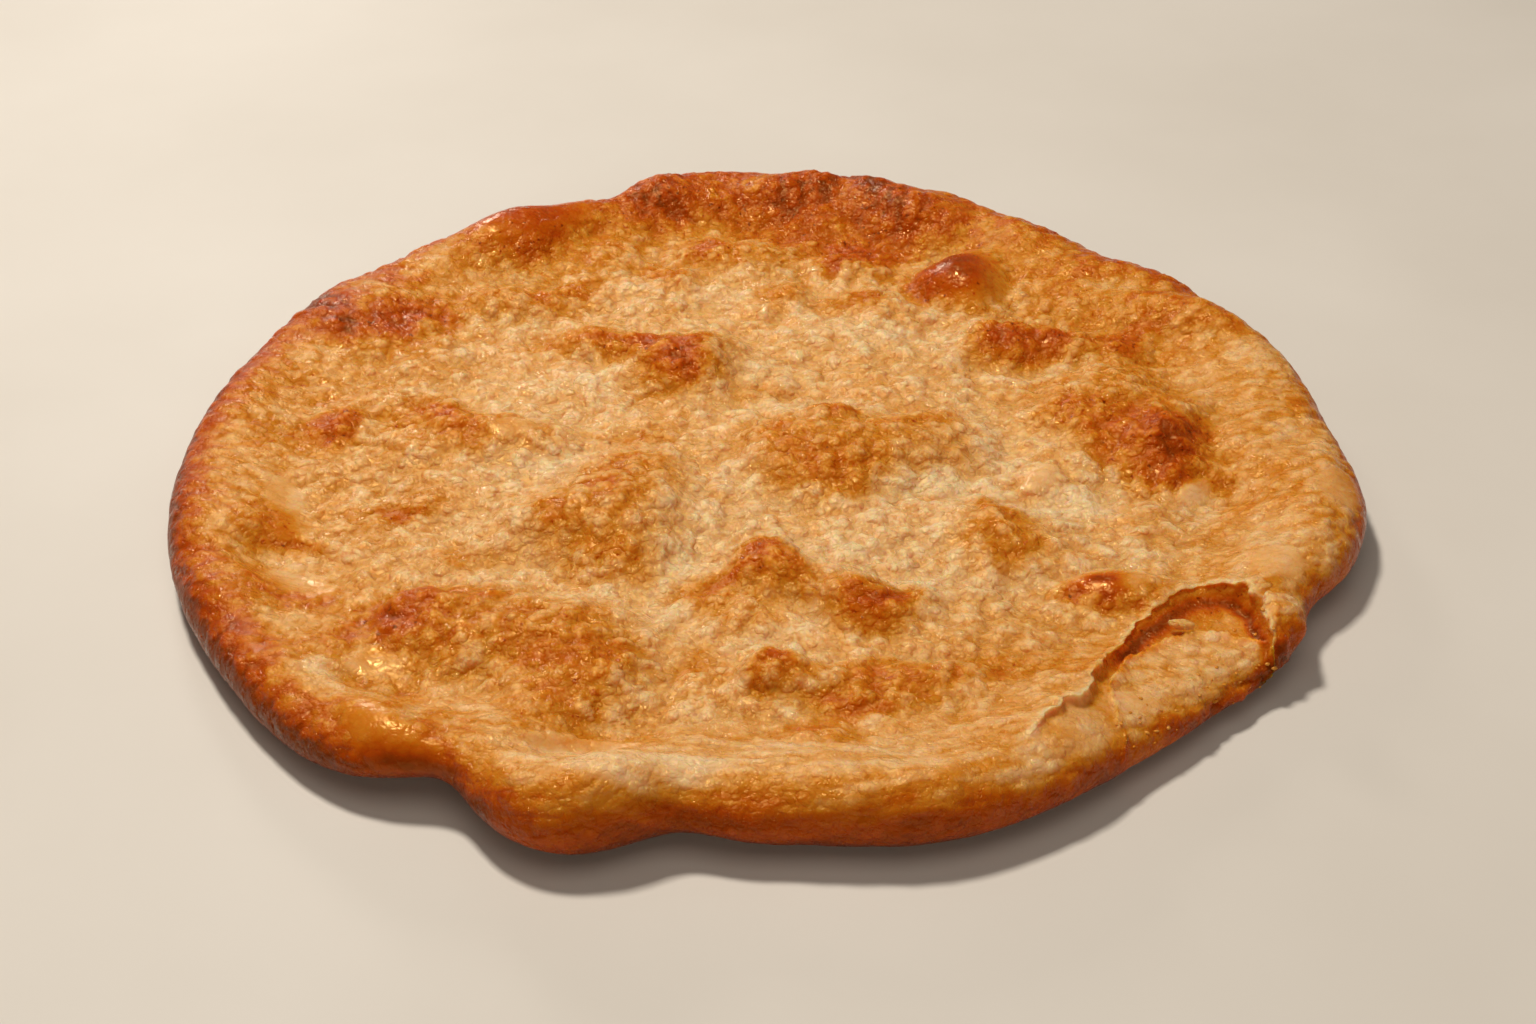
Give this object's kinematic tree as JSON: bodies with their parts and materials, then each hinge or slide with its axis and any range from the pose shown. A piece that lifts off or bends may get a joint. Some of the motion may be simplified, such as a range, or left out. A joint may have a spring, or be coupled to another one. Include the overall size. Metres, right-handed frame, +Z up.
{
  "type": "fried flatbread",
  "caption": "Round deep-fried dough flatbread with a puffed rim, a blistered and dimpled upper face and a torn lip over a lower ledge beside the rim.",
  "frame": {"origin": "centre of the flat patch of the under face, on the table", "axes": "+Z up from the table, +X to the right and +Y to the back, with the torn lip at the front right"},
  "size_m": [0.2221, 0.2244, 0.0165],
  "materials": {
    "fried_crust": "golden-brown fried crust with an oily sheen"
  },
  "bodies": {
    "root": {"langos": "fried_crust"}
  },
  "joints": []
}
